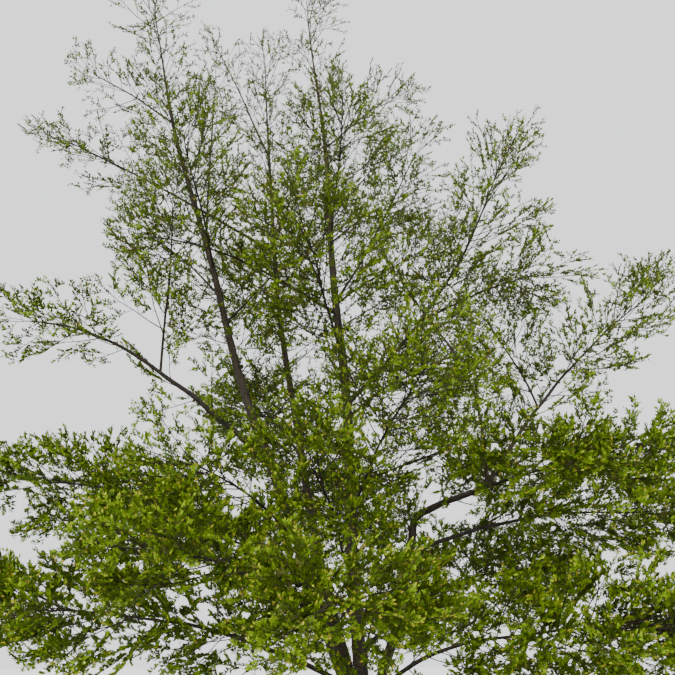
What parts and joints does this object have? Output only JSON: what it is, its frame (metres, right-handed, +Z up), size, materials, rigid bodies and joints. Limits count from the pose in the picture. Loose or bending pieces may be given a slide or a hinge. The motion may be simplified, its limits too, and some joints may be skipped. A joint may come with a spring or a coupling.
{
  "type": "cut-leaved alder tree",
  "caption": "Spreading alder with several stems from one stool, long low boughs and open tiers of small cut leaves.",
  "frame": {"origin": "middle of the flat cut under the trunk, at ground level", "axes": "+Z up; seen along +Y, the long bare bough is on the left, towards -X, and -Y is the side the picture shows"},
  "size_m": [13.0662, 11.4442, 15.2448],
  "materials": {
    "bark": "rough grey-brown bark",
    "leaves": "soft young leaves, matt"
  },
  "bodies": {
    "root": {"back_bough": "bark", "back_end": "leaves", "back_left_bough": "bark", "back_left_end": "leaves", "back_right_bough": "bark", "back_right_end": "leaves", "front_bough": "bark", "front_end": "leaves", "front_left_bough": "bark", "front_left_end": "leaves", "front_right_bough": "bark", "front_right_end": "leaves", "high_right": "leaves", "left_bough": "bark", "left_bough_end": "leaves", "left_leader": "leaves", "left_stem": "bark", "left_stem_far_high": "leaves", "left_stem_far_low": "leaves", "left_stem_front_high": "leaves", "left_stem_front_low": "leaves", "left_stem_right": "leaves", "left_stem_top": "leaves", "left_upright": "leaves", "long_right_bough": "bark", "long_right_end": "leaves", "long_right_side": "leaves", "low_left_bough": "bark", "low_left_end": "leaves", "mid_left_bough": "bark", "mid_left_end": "leaves", "middle_leader": "leaves", "middle_stem": "bark", "middle_stem_back_high": "leaves", "middle_stem_back_low": "leaves", "middle_stem_far_left": "leaves", "middle_stem_right": "leaves", "middle_stem_top": "leaves", "right_bough": "bark", "right_far_bough": "bark", "right_far_end": "leaves", "right_far_side": "leaves", "right_front": "leaves", "right_riser": "bark", "right_riser_top": "leaves", "right_side_bough": "bark", "right_side_end": "leaves", "right_stem": "bark", "trunk": "bark", "trunk_back_high": "leaves", "trunk_back_low": "leaves", "trunk_front_bottom": "leaves", "trunk_front_high": "leaves", "trunk_front_low": "leaves", "trunk_front_middle": "leaves", "trunk_left_low": "leaves", "trunk_right_bottom": "leaves", "trunk_right_high": "leaves", "trunk_right_low": "leaves", "trunk_top": "leaves"}
  },
  "joints": []
}
